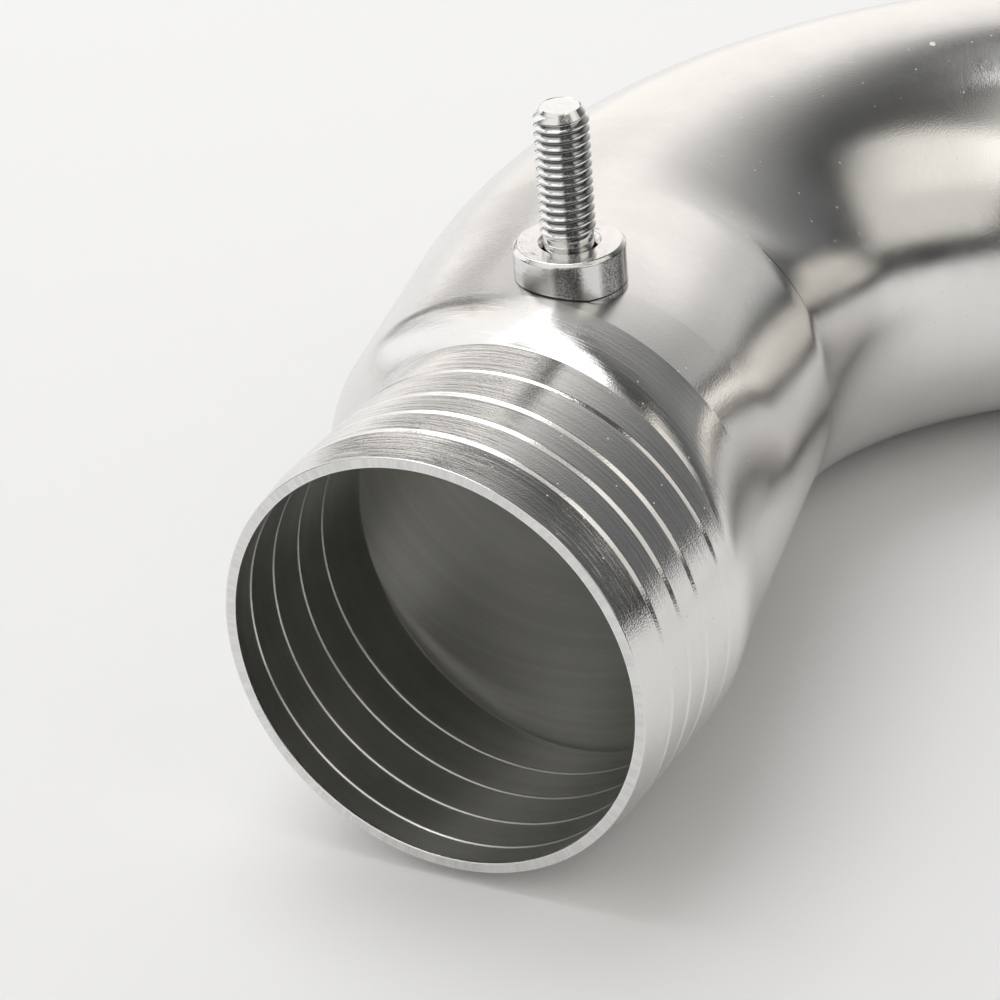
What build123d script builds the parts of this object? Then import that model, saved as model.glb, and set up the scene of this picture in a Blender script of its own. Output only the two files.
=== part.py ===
"""Cold air intake pipe: a bent aluminium tube with a ringed hose neck and a mounting stud.

Millimetres. The pipe lies on its side with +Z up: the neck opens towards -Y, the tube runs
along +Y, and the bend turns it to +X. The origin is under the middle of the whole pipe.
"""

import os
from math import atan, cos, radians, sin

from build123d import *

# Tube
body_d = 50.8
wall = 1.2
straight_length = 50.4
bend_radius = 57.5
bend_angle = 90
leg_length = 30.0

# Neck and its grip rings, measured along the neck from the cut end
neck_rim_d = 48.0
neck_band_d = 49.0
neck_angle = 12.0
neck_to_corner = 13.4
ring_stations = (4.9, 9.1, 13.2, 18.5)
ring_depths = (0.28, 0.28, 0.28, 0.14)
ring_drop = 0.16
ring_slope = 0.5
crest_stations = (4.0, 8.7, 13.9, 19.0)
crest_height = 0.16
crest_width = 0.5

# Shoulder between the neck and the tube: a sharp flare on one side, a smooth brow on the other.
# Its crease is measured from the cut end, and its end from the corner of the two axes.
# The crown rises soonest beside the crease, the more so the higher its power
crease_station = 24.4
crease_shift = 3.0
shoulder_end = 21.0
shoulder_shift = 5.0
shoulder_sections = 7
flare_angle = 45.0
flare_reach = 3.0
flare_runout = 2.7
brow_reach = 3.0
brow_runout = 6.0
crown_power = 3
collar_length = 0.4

# Boss and stud, placed along the tube from the corner of the two axes
stud_station = 27.0
stud_offset = 3.0
boss_d = 12.0
boss_height = 3.7
boss_seat = 0.8
boss_chamfer = 0.4
boss_floor = 1.0
shank_d = 5.4
shank_above_boss = 1.0
shank_clearance = 0.05
stud_d = 5.9
stud_reach = 19.2
stud_tip_chamfer = 0.8
stud_tip_length = 1.1
mouth_chamfer = 0.6

# Radii and directions that follow
body_r = body_d / 2
rim_r = neck_rim_d / 2
band_r = neck_band_d / 2
turn = radians(neck_angle)
along_neck = Vector(sin(turn), cos(turn), 0)
across_neck = Vector(cos(turn), -sin(turn), 0)
up = Vector(0, 0, 1)
ahead = Vector(0, 1, 0)

# The corner of the two axes, set so that the origin is under the middle of the pipe
left_of_corner = neck_to_corner * sin(turn) + rim_r * cos(turn)
right_of_corner = bend_radius + leg_length
front_of_corner = neck_to_corner * cos(turn) + rim_r * sin(turn)
back_of_corner = straight_length + bend_radius + body_r
corner = Vector(
    (left_of_corner - right_of_corner) / 2,
    (front_of_corner - back_of_corner) / 2,
    body_r,
)
rim_centre = corner - along_neck * neck_to_corner
neck_length = crease_station - crease_shift - collar_length
neck_end = rim_centre + along_neck * neck_length
tube_start = shoulder_end + shoulder_shift + collar_length
weld_centre = corner + ahead * straight_length


def neck_outline(inset, stations, profile):
    """Corners of the neck's side as (distance from the axis, distance from the cut end)."""
    corners = [(rim_r - inset, 0.0)]
    for place, station in enumerate(stations):
        corners += [(band_r - inset + lift, station + shift) for lift, shift in profile(place)]
    corners.append((band_r - inset, neck_length))
    return corners


def ring_groove(place):
    """A rolled ring: a short drop away from the rim, then a slope that faces it."""
    return [(0, -ring_drop), (-ring_depths[place], 0), (0, ring_slope)]


def ring_crest(place):
    """The low crest that each rolled ring leaves inside the neck."""
    return [(0, -crest_width / 2), (-crest_height, 0), (0, crest_width / 2)]


def crease_point(side):
    """One end of the crease around the neck: side is 1 towards the bend's centre, -1 away from it."""
    station = crease_station - side * crease_shift
    return rim_centre + along_neck * station + across_neck * (side * band_r)


def tube_point(side):
    """One end of the line where the shoulder runs into the tube."""
    return corner + Vector(side * body_r, shoulder_end - side * shoulder_shift, 0)


def curve_point(path, share):
    """Point on a smooth curve from the first of four points to the last."""
    rest = 1 - share
    near = path[0] * rest**3 + path[1] * (3 * rest**2 * share)
    return near + path[2] * (3 * rest * share**2) + path[3] * share**3


def shoulder_section(share, inset):
    """One section of the shoulder's face, from the crease at 0 to the tube at 1."""
    brow = curve_point(brow_path, share)
    flare = curve_point(flare_path, share)
    across = (brow - flare).normalized()
    trim = (1 - share) / cos(crease_lean) + share / cos(tube_lean)
    half_width = (brow - flare).length / 2 - inset * trim
    rise = 1 - (1 - share) ** crown_power
    half_height = band_r + (body_r - band_r) * rise - inset
    with BuildSketch(Plane((brow + flare) / 2, x_dir=across, z_dir=up.cross(across))) as section:
        Ellipse(half_width, half_height)
    return section.sketch


crease_lean = atan(crease_shift / band_r)
tube_lean = atan(shoulder_shift / body_r)
flare_turn = radians(flare_angle)
flare_side = Vector(-sin(flare_turn), cos(flare_turn), 0)
flare_path = (
    crease_point(-1),
    crease_point(-1) + flare_side * flare_reach,
    tube_point(-1) - ahead * flare_runout,
    tube_point(-1),
)
brow_path = (
    crease_point(1),
    crease_point(1) + along_neck * brow_reach,
    tube_point(1) - ahead * brow_runout,
    tube_point(1),
)
shares = [step / (shoulder_sections - 1) for step in range(shoulder_sections)]
neck_plane = Plane(rim_centre, x_dir=across_neck, z_dir=up)
neck_end_plane = Plane(neck_end, x_dir=across_neck, z_dir=along_neck)
tube_plane = Plane(corner + ahead * tube_start, x_dir=(1, 0, 0), z_dir=ahead)
weld_plane = Plane(weld_centre, x_dir=up, z_dir=(0, 1, 0))
os.makedirs("parts", exist_ok=True)

# Necked inlet: ringed neck, leaning shoulder and straight tube in one wall
with BuildPart() as inlet_neck:
    for inset, stations, profile, mode in (
        (0, ring_stations, ring_groove, Mode.ADD),
        (wall, crest_stations, ring_crest, Mode.SUBTRACT),
    ):
        with BuildSketch(neck_plane) as neck_side:
            with BuildLine():
                Polyline((0, 0), *neck_outline(inset, stations, profile), (0, neck_length), close=True)
            make_face()
        revolve(neck_side.sketch, axis=Axis(rim_centre, along_neck), mode=mode)
        with BuildSketch(neck_end_plane) as collar_end:
            Circle(band_r - inset)
        with BuildSketch(tube_plane) as tube_end:
            Circle(body_r - inset)
        sections = [shoulder_section(share, inset) for share in shares]
        loft([collar_end.sketch, sections[0]], mode=mode)
        loft(sections, mode=mode)
        loft([sections[-1], tube_end.sketch], mode=mode)
        extrude(tube_end.sketch, amount=straight_length - tube_start, mode=mode)

inlet_neck.part.label = "inlet_neck"
export_step(inlet_neck.part, "parts/inlet_neck.step")

# Bend with its plain leg
bend_axis = Axis(weld_centre + Vector(bend_radius, 0, 0), (0, 0, -1))
with BuildPart() as bend_tube:
    with BuildSketch(weld_plane) as weld_ring:
        Circle(body_r)
        Circle(body_r - wall, mode=Mode.SUBTRACT)
    revolve(weld_ring.sketch, axis=bend_axis, revolution_arc=bend_angle)
    leg_face = bend_tube.faces().filter_by(GeomType.PLANE).sort_by(Axis.X)[-1]
    extrude(leg_face, amount=leg_length)

bend_tube.part.label = "bend_tube"
export_step(bend_tube.part, "parts/bend_tube.step")

# Boss with a flat foot, saddled to the crown, and the blind hole that takes the stud
stud_foot = corner + Vector(stud_offset, stud_station, body_r)
boss_top = Plane(stud_foot + up * boss_height)
crown_plane = Plane(corner + Vector(0, stud_station, 0), x_dir=up, z_dir=(0, 1, 0))
with BuildPart() as stud_boss:
    with BuildSketch(boss_top) as boss_outline:
        Circle(boss_d / 2)
    extrude(boss_outline.sketch, amount=-boss_height - boss_seat)
    with BuildSketch(crown_plane) as saddle:
        Circle(body_r)
    extrude(saddle.sketch, amount=boss_d, both=True, mode=Mode.SUBTRACT)
    chamfer(stud_boss.faces().sort_by(Axis.Z)[-1].edges(), boss_chamfer)
    with BuildSketch(boss_top) as hole:
        Circle(shank_d / 2 + shank_clearance)
    extrude(hole.sketch, amount=boss_floor - boss_height, mode=Mode.SUBTRACT)
    chamfer(stud_boss.faces().sort_by(Axis.Z)[-1].edges().sort_by(SortBy.LENGTH)[0], mouth_chamfer)

stud_boss.part.label = "stud_boss"
export_step(stud_boss.part, "parts/stud_boss.step")

# Stud: a plain shank seated on the floor of the boss's hole, then the thread's full width
shank_top = boss_height + shank_above_boss
with BuildPart() as mount_stud:
    with BuildSketch(Plane(stud_foot + up * boss_floor)) as shank_outline:
        Circle(shank_d / 2)
    extrude(shank_outline.sketch, amount=shank_top - boss_floor)
    with BuildSketch(Plane(stud_foot + up * shank_top)) as thread_outline:
        Circle(stud_d / 2)
    extrude(thread_outline.sketch, amount=stud_reach - shank_top)
    chamfer(mount_stud.faces().sort_by(Axis.Z)[-1].edges(), stud_tip_length, stud_tip_chamfer)

mount_stud.part.label = "mount_stud"
export_step(mount_stud.part, "parts/mount_stud.step")
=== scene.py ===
"""Cold air intake pipe: the dressed pieces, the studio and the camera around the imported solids.

Sizes of the pieces and their finishes are millimetres and degrees, those of the studio metres and
degrees. Each finished mesh is written in metres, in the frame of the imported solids, with the corner
of the neck's and the tube's axes as the datum.
"""

import logging
import math
from dataclasses import dataclass, replace
from enum import Enum

import bmesh
import bpy
from mathutils import Matrix, Vector

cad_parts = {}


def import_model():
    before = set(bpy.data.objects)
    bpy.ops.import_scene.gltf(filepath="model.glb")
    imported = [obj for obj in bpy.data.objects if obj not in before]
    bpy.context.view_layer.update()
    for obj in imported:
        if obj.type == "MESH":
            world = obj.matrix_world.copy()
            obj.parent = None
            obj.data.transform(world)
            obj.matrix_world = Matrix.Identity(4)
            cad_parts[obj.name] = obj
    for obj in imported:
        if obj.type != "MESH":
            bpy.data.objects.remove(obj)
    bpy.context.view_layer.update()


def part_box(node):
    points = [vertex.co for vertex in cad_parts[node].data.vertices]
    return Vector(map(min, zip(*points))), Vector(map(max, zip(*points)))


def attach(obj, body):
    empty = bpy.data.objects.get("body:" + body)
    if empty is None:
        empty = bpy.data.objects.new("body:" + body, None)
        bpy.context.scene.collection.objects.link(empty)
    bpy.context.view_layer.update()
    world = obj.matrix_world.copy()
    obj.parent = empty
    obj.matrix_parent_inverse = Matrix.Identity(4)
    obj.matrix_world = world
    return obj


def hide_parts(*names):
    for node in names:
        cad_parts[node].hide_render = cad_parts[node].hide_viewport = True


log = logging.getLogger("intake_pipe")

Span = tuple[float, float]
Point = tuple[float, float, float]
Color = tuple[float, float, float]
Socket = bpy.types.NodeSocket
Value = Socket | float

MM = 0.001
UP = Vector((0, 0, 1))
AHEAD = Vector((0, 1, 0))

# Millimetres within which points become one
MERGE = 0.0005
SPIN_MERGE = 0.002

# Reach of the held flats beside a rounding, in sizes of the rounding
FLAT_HOLD = 1.7
RIM_STEPS = 4

# Vector operations that give a number
MEASURES = ("LENGTH", "DISTANCE", "DOT_PRODUCT")

# A Mix node's sockets for its two colours and for the mixed one
MIX_CLEAN, MIX_DARKER, MIX_RESULT = 6, 7, 2


class Slot(Enum):
    """The record's material slots."""

    TUBE = "polished_tube"
    BOSS = "turned_boss"
    STUD = "thread_steel"


class Face(Enum):
    """Material index of a tube wall's faces."""

    OUTSIDE = 0
    BORE = 1
    CUT = 2


class Shape(Enum):
    """Outline of a panel light."""

    ROUND = "ELLIPSE"
    SQUARE = "RECTANGLE"


def metres(sizes: tuple[float, ...]) -> tuple[float, ...]:
    """Turns millimetres into metres."""
    return tuple(size * MM for size in sizes)


def rounded(points: list[Span], size: float, steps: int = 3) -> list[Span]:
    """Rounds the inner corners of an open outline and holds the flats beside them.

    Args:
        points: Corners of the outline.
        size: Length that a rounding takes of each of its two sides, at most a quarter of a side.
        steps: Spans in each rounding.

    Returns:
        The outline with a small curve in place of each inner corner.
    """
    out = [points[0]]
    for before, here, after in zip(points, points[1:], points[2:]):
        a, b, c = Vector(before), Vector(here), Vector(after)
        reach = min(size, (a - b).length / 4, (c - b).length / 4)
        back, on = (a - b).normalized() * reach, (c - b).normalized() * reach
        out.append(tuple(b + back * FLAT_HOLD))
        for step in range(steps + 1):
            share = step / steps
            out.append(tuple(b + back * (1 - share) ** 2 + on * share**2))
        out.append(tuple(b + on * FLAT_HOLD))
    out.append(points[-1])
    return out


def curve_point(path: tuple[Vector, ...], share: float) -> Vector:
    """Finds a point on a smooth curve from the first of four points to the last.

    Args:
        path: The curve's four points.
        share: Place on the curve, from 0 to 1.

    Returns:
        The point.
    """
    rest = 1 - share
    near = path[0] * rest**3 + path[1] * (3 * rest**2 * share)
    return near + path[2] * (3 * rest * share**2) + path[3] * share**3


@dataclass(frozen=True)
class Ring:
    """One round of a swept wall, with its place along the straightened pipe."""

    centre: Vector
    axis: Vector
    side_r: float
    up_r: float
    along: float
    face: Face = Face.OUTSIDE
    sharp: bool = False

    def matrix(self) -> Matrix:
        """Returns the placing of a unit circle: X to the side, Y up, Z along the wall."""
        turn = Matrix((self.axis.cross(UP), UP, self.axis)).transposed().to_4x4()
        return Matrix.Translation(self.centre) @ turn @ Matrix.Diagonal((self.side_r, self.up_r, 1, 1))


@dataclass(frozen=True)
class Run:
    """A straight stretch of pipe, for placing rings along its axis."""

    start: Vector
    axis: Vector
    along: float

    def ring(self, place: float, radius: float, shift: float = 0.0, **marks: object) -> Ring:
        """Places a ring on a cylinder around the axis.

        Args:
            place: Distance of the ring's middle from the start.
            radius: The cylinder's radius.
            shift: How much further the ring lies on its far side than in its middle.
            marks: The ring's face and edge marks.

        Returns:
            The ring, which is an ellipse where it leans.
        """
        lean = math.atan(shift / radius)
        axis = Matrix.Rotation(-lean, 3, "Z") @ self.axis
        centre = self.start + self.axis * place
        return Ring(centre, axis, radius / math.cos(lean), radius, self.along + place, **marks)

    def cut_end(self, end: float, inward: int, radius: float, wall: float, edge: float) -> list[Ring]:
        """Places rings over a cut end, from its outer edge over the flat face to its inner edge.

        Args:
            end: Distance of the cut from the start.
            inward: 1 where the pipe lies ahead of the cut, -1 where it lies behind.
            radius: The pipe's outer radius at the cut.
            wall: Its wall.
            edge: Size of the rounded edges.

        Returns:
            The rings in order, with the flat face marked as cut.
        """
        corners = [(1.0, 0.0), (0.0, 0.0), (0.0, wall), (1.0, wall)]
        rings, flat = [], False
        for depth, drop in rounded(corners, edge, RIM_STEPS)[1:-1]:
            face = Face.CUT if flat and not depth else Face.OUTSIDE
            rings.append(self.ring(end + inward * depth, radius - drop, face=face))
            flat = not depth
        return rings


@dataclass(frozen=True)
class PipeLayout:
    """Main sizes of the pipe, shared by its pieces."""

    corner: Vector
    body_r: float = 25.4
    wall: float = 1.2
    straight_length: float = 50.4
    bend_radius: float = 57.5
    bend_turn: float = math.radians(90.0)
    leg_length: float = 30.0
    neck_turn: float = math.radians(12.0)
    neck_to_corner: float = 13.4

    @classmethod
    def from_frame(cls) -> "PipeLayout":
        """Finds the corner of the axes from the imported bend's box.

        Returns:
            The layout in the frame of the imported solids.
        """
        low = Vector(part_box("bend_tube")[0]) / MM
        return cls(Vector((low.x + cls.body_r, low.y - cls.straight_length, low.z + cls.body_r)))

    @property
    def along_neck(self) -> Vector:
        """Direction from the cut end into the neck."""
        return Vector((math.sin(self.neck_turn), math.cos(self.neck_turn), 0))

    @property
    def across_neck(self) -> Vector:
        """Direction across the neck, towards the bend's inner side."""
        return Vector((math.cos(self.neck_turn), -math.sin(self.neck_turn), 0))

    @property
    def neck(self) -> Run:
        """The neck, from its cut end."""
        return Run(self.corner - self.along_neck * self.neck_to_corner, self.along_neck, 0.0)

    @property
    def tube(self) -> Run:
        """The straight tube, from the corner of the axes."""
        return Run(self.corner, AHEAD, self.neck_to_corner)

    def bend(self, share: float) -> Run:
        """Finds the axis on the bend.

        Args:
            share: Place on the bend, from 0 at the weld to 1 where the leg begins.

        Returns:
            A run that starts there and leaves along the bend's tangent.
        """
        turn = self.bend_turn * share
        pivot = self.corner + Vector((self.bend_radius, self.straight_length, 0))
        spoke = Vector((-math.cos(turn), math.sin(turn), 0)) * self.bend_radius
        tangent = Vector((math.sin(turn), math.cos(turn), 0))
        along = self.neck_to_corner + self.straight_length + turn * self.bend_radius
        return Run(pivot + spoke, tangent, along)


def loop_edges(verts: list[bmesh.types.BMVert]) -> list[bmesh.types.BMEdge]:
    """Finds the edges whose two ends are both among some vertices."""
    ends = set(verts)
    return list({edge for vert in verts for edge in vert.link_edges if edge.other_vert(vert) in ends})


def spun(outline: list[Span], segments: int, rise: float = 0.0) -> bmesh.types.BMesh:
    """Spins an outline a full turn around the Z axis.

    Args:
        outline: The outline as (radius, height).
        segments: Steps of the turn.
        rise: Height that the turn gains, for a thread.

    Returns:
        The spun face, with its doubles merged.
    """
    bm = bmesh.new()
    chain = [bm.verts.new((radius, 0, height)) for radius, height in outline]
    edges = [bm.edges.new(pair) for pair in zip(chain, chain[1:])]
    bmesh.ops.spin(
        bm,
        geom=chain + edges,
        cent=(0, 0, 0),
        axis=(0, 0, 1),
        dvec=(0, 0, rise / segments),
        angle=math.tau,
        steps=segments,
        use_merge=not rise,
    )
    bmesh.ops.remove_doubles(bm, verts=bm.verts, dist=SPIN_MERGE)
    return bm


def finish_piece(bm: bmesh.types.BMesh, name: str, materials: list[bpy.types.Material]) -> bpy.types.Object:
    """Scales a mesh to metres, closes it up and makes it an object of the pipe.

    Args:
        bm: The mesh in millimetres; it is freed.
        name: The piece's name.
        materials: Its materials, in the order of its faces' indices.

    Returns:
        The new object, which rides on the pipe's one body.
    """
    bmesh.ops.remove_doubles(bm, verts=bm.verts, dist=MERGE)
    bmesh.ops.recalc_face_normals(bm, faces=bm.faces)
    bmesh.ops.scale(bm, vec=(MM, MM, MM), verts=bm.verts)
    for face in bm.faces:
        face.smooth = True
    mesh = bpy.data.meshes.new(name)
    bm.to_mesh(mesh)
    bm.free()
    for material in materials:
        mesh.materials.append(material)
    piece = bpy.data.objects.new(name, mesh)
    bpy.context.scene.collection.objects.link(piece)
    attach(piece, "root")
    log.info("%s: %d faces", name, len(mesh.polygons))
    return piece


@dataclass
class SweptWall:
    """A tube wall made by carrying one circle through a row of rings and back."""

    segments: int = 256

    def build(self, rings: list[Ring]) -> bmesh.types.BMesh:
        """Extrudes a circle along the rings and joins the last one to the first.

        Args:
            rings: Rings of the outer face, the end and the inner face, in order.

        Returns:
            A closed wall whose vertices carry their place in the straightened pipe.
        """
        bm = bmesh.new()
        straight = bm.verts.layers.float_vector.new("straight")
        placing = rings[0].matrix()
        verts = bmesh.ops.create_circle(bm, segments=self.segments, radius=1, matrix=placing)["verts"]
        first = edges = loop_edges(verts)
        self._mark(verts, edges, rings[0], straight)
        for before, ring in zip(rings, rings[1:]):
            made = bmesh.ops.extrude_edge_only(bm, edges=edges)["geom"]
            verts = [item for item in made if isinstance(item, bmesh.types.BMVert)]
            for face in (item for item in made if isinstance(item, bmesh.types.BMFace)):
                face.material_index = ring.face.value
            edges = loop_edges(verts)
            bmesh.ops.transform(bm, matrix=ring.matrix() @ before.matrix().inverted(), verts=verts)
            self._mark(verts, edges, ring, straight)
        for face in bmesh.ops.bridge_loops(bm, edges=first + edges)["faces"]:
            face.material_index = Face.CUT.value
        return bm

    def _mark(self, verts: list, edges: list, ring: Ring, layer: object) -> None:
        """Writes each vertex's place in the straightened pipe, and the ring's sharp edges.

        Args:
            verts: The ring's vertices.
            edges: The ring's edges.
            ring: The ring.
            layer: The layer that takes the place, in metres.
        """
        back = ring.matrix().inverted()
        for vert in verts:
            flat = back @ vert.co
            vert[layer] = Vector((flat.x * ring.side_r, flat.y * ring.up_r, ring.along)) * MM
        for edge in edges:
            edge.smooth = not ring.sharp


@dataclass
class InletNeck:
    """Ringed neck, leaning shoulder and straight tube in one wall."""

    layout: PipeLayout
    rim_r: float = 24.0
    band_r: float = 24.5
    ring_stations: tuple[float, ...] = (4.9, 9.1, 13.2, 18.5)
    ring_depths: tuple[float, ...] = (0.28, 0.28, 0.28, 0.14)
    ring_drop: float = 0.16
    ring_slope: float = 0.5
    crest_stations: tuple[float, ...] = (4.0, 8.7, 13.9, 19.0)
    crest_height: float = 0.16
    crest_width: float = 0.5
    crease_station: float = 24.4
    crease_shift: float = 3.0
    shoulder_end: float = 21.0
    shoulder_shift: float = 5.0
    flare_turn: float = math.radians(45.0)
    flare_reach: float = 3.0
    flare_runout: float = 2.7
    brow_reach: float = 3.0
    brow_runout: float = 6.0
    crown_power: int = 3
    collar_length: float = 0.4
    shoulder_steps: int = 40
    edge_round: float = 0.07
    rim_round: float = 0.14
    collar_shares: tuple[float, ...] = (0.5, 0.93, 0.97)
    crease_shares: tuple[float, ...] = (0.012, 0.024)
    runout_shares: tuple[float, ...] = (0.3, 0.6, 1.0)
    tube_places: tuple[float, ...] = (32.0, 40.0, 46.0)

    @property
    def neck_length(self) -> float:
        """Distance from the cut end to where the leaning crease begins to take over."""
        return self.crease_station - self.crease_shift - self.collar_length

    def neck_outline(self, inset: float) -> list[Span]:
        """Lays out the neck's side as (distance from the cut end, radius).

        Args:
            inset: 0 for the outer face, the wall for the inner face.

        Returns:
            The rounded outline, from the cut end to the shoulder.
        """
        points = [(0.0, self.rim_r - inset)]
        base = self.band_r - inset
        if inset:
            half = self.crest_width / 2
            for station in self.crest_stations:
                crest = (station, base - self.crest_height)
                points += [(station - half, base), crest, (station + half, base)]
        else:
            for station, depth in zip(self.ring_stations, self.ring_depths):
                groove = (station, base - depth)
                points += [(station - self.ring_drop, base), groove, (station + self.ring_slope, base)]
        points.append((self.neck_length, base))
        return rounded(points, self.edge_round)

    def side_path(self, side: int, leave: Vector, runout: float) -> tuple[Vector, ...]:
        """Lays out the curve along one side of the shoulder.

        Args:
            side: 1 towards the bend's centre, -1 away from it.
            leave: How the curve leaves the crease.
            runout: How far before its end the curve has turned along the tube.

        Returns:
            The curve's four points, from the crease to the tube.
        """
        lay = self.layout
        station = self.crease_station - side * self.crease_shift
        crease = lay.neck.start + lay.along_neck * station + lay.across_neck * (side * self.band_r)
        end = self.shoulder_end - side * self.shoulder_shift
        tube = lay.corner + Vector((side * lay.body_r, end, 0))
        return crease, crease + leave, tube - AHEAD * runout, tube

    def shoulder_ring(self, share: float, inset: float) -> Ring:
        """Places one ring of the shoulder, from the crease at 0 to the tube at 1.

        Args:
            share: Place in the shoulder.
            inset: 0 for the outer face, the wall for the inner face.

        Returns:
            The ring, which leans less and less towards the tube.
        """
        lay = self.layout
        flare_side = Vector((-math.sin(self.flare_turn), math.cos(self.flare_turn), 0))
        flare_path = self.side_path(-1, flare_side * self.flare_reach, self.flare_runout)
        brow_path = self.side_path(1, lay.along_neck * self.brow_reach, self.brow_runout)
        flare, brow = curve_point(flare_path, share), curve_point(brow_path, share)
        across = (brow - flare).normalized()
        crease_trim = math.hypot(1, self.crease_shift / self.band_r)
        tube_trim = math.hypot(1, self.shoulder_shift / lay.body_r)
        half_width = (brow - flare).length / 2 - inset * (crease_trim * (1 - share) + tube_trim * share)
        rise = 1 - (1 - share) ** self.crown_power
        half_height = self.band_r + (lay.body_r - self.band_r) * rise - inset
        along = self.crease_station * (1 - share) + (lay.neck_to_corner + self.shoulder_end) * share
        return Ring((brow + flare) / 2, UP.cross(across), half_width, half_height, along)

    def face_rings(self, inset: float) -> list[Ring]:
        """Places the rings of one face from the cut end to the weld.

        Args:
            inset: 0 for the outer face, the wall for the inner face.

        Returns:
            The rings in order.
        """
        lay = self.layout
        neck_r, tube_r = self.band_r - inset, lay.body_r - inset
        rings = [lay.neck.ring(place, radius) for place, radius in self.neck_outline(inset)]
        for share in self.collar_shares:
            place = self.neck_length + (self.crease_station - self.neck_length) * share
            rings.append(lay.neck.ring(place, neck_r, self.crease_shift * share))
        even = [step / self.shoulder_steps for step in range(2, self.shoulder_steps + 1)]
        rings += [self.shoulder_ring(share, inset) for share in (*self.crease_shares, *even)]
        runout = self.shoulder_shift + self.collar_length
        for share in self.runout_shares:
            place = self.shoulder_end + runout * share
            rings.append(lay.tube.ring(place, tube_r, self.shoulder_shift * (1 - share)))
        rings += [lay.tube.ring(place, tube_r) for place in self.tube_places]
        rings.append(lay.tube.ring(lay.straight_length, tube_r, sharp=True))
        face = Face.BORE if inset else Face.OUTSIDE
        return [replace(ring, face=face) for ring in rings]

    def build(self, materials: list[bpy.types.Material]) -> bpy.types.Object:
        """Builds the wall and dresses it.

        Args:
            materials: The finishes of the outside, the bore and the cut end.

        Returns:
            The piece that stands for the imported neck.
        """
        lay = self.layout
        outside = list(reversed(self.face_rings(0.0)))[:-1]
        rim = lay.neck.cut_end(0.0, 1, self.rim_r, lay.wall, self.rim_round)
        inside = self.face_rings(lay.wall)[1:]
        bm = SweptWall().build(outside + rim + inside)
        piece = finish_piece(bm, "neck_and_tube", materials)
        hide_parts("inlet_neck")
        return piece


@dataclass
class BendTube:
    """The bend with its plain leg."""

    layout: PipeLayout
    bend_steps: int = 96
    edge_round: float = 0.14

    def face_rings(self, inset: float) -> list[Ring]:
        """Places the rings of one face from the weld to the middle of the leg.

        Args:
            inset: 0 for the outer face, the wall for the inner face.

        Returns:
            The rings in order.
        """
        lay = self.layout
        radius = lay.body_r - inset
        face = Face.BORE if inset else Face.OUTSIDE
        rings = []
        for step in range(self.bend_steps + 1):
            run = lay.bend(step / self.bend_steps)
            rings.append(run.ring(0.0, radius, face=face, sharp=step == 0))
        rings.append(lay.bend(1.0).ring(lay.leg_length / 2, radius, face=face))
        return rings

    def build(self, materials: list[bpy.types.Material]) -> bpy.types.Object:
        """Builds the wall and dresses it.

        Args:
            materials: The finishes of the outside, the bore and the cut end.

        Returns:
            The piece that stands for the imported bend.
        """
        lay = self.layout
        inside = list(reversed(self.face_rings(lay.wall)))
        end = lay.bend(1.0).cut_end(lay.leg_length, -1, lay.body_r, lay.wall, self.edge_round)
        bm = SweptWall().build(self.face_rings(0.0) + end + inside)
        piece = finish_piece(bm, "bend_and_leg", materials)
        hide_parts("bend_tube")
        return piece


@dataclass
class StudBoss:
    """Round boss with a flat foot, saddled to the crown."""

    layout: PipeLayout
    station: float = 27.0
    offset: float = 3.0
    outer_r: float = 6.0
    height: float = 3.7
    seat: float = 0.8
    chamfer: float = 0.4
    floor: float = 1.0
    hole_r: float = 2.75
    mouth: float = 0.6
    edge_round: float = 0.08
    foot_steps: int = 6
    sharp_from: float = 60.0
    segments: int = 128

    @property
    def foot(self) -> Vector:
        """Point on the stud's axis at the height of the tube's crown."""
        lay = self.layout
        return lay.corner + Vector((self.offset, self.station, lay.body_r))

    def build(self, material: bpy.types.Material) -> bpy.types.Object:
        """Spins the boss's outline and fits its foot to the tube.

        Args:
            material: The boss's finish.

        Returns:
            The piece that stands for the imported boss.
        """
        corners = [
            (0.0, self.floor),
            (self.hole_r, self.floor),
            (self.hole_r, self.height - self.mouth),
            (self.hole_r + self.mouth, self.height),
            (self.outer_r - self.chamfer, self.height),
            (self.outer_r, self.height - self.chamfer),
            (self.outer_r, -self.seat),
        ]
        inner = [self.outer_r * (1 - step / self.foot_steps) for step in range(1, self.foot_steps + 1)]
        outline = rounded(corners, self.edge_round) + [(radius, -self.seat) for radius in inner]
        bm = spun(outline, self.segments)
        for vert in bm.verts:
            if vert.co.z < -self.seat + MERGE:
                vert.co.z = self.crown_height(vert.co.x)
        for edge in bm.edges:
            edge.smooth = edge.calc_face_angle(0.0) < math.radians(self.sharp_from)
        bmesh.ops.translate(bm, vec=self.foot, verts=bm.verts)
        piece = finish_piece(bm, "boss", [material])
        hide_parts("stud_boss")
        return piece

    def crown_height(self, x: float) -> float:
        """Height of the tube from its crown, at a distance x to the side of the stud's axis."""
        radius = self.layout.body_r
        return math.sqrt(radius**2 - (x + self.offset) ** 2) - radius


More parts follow.
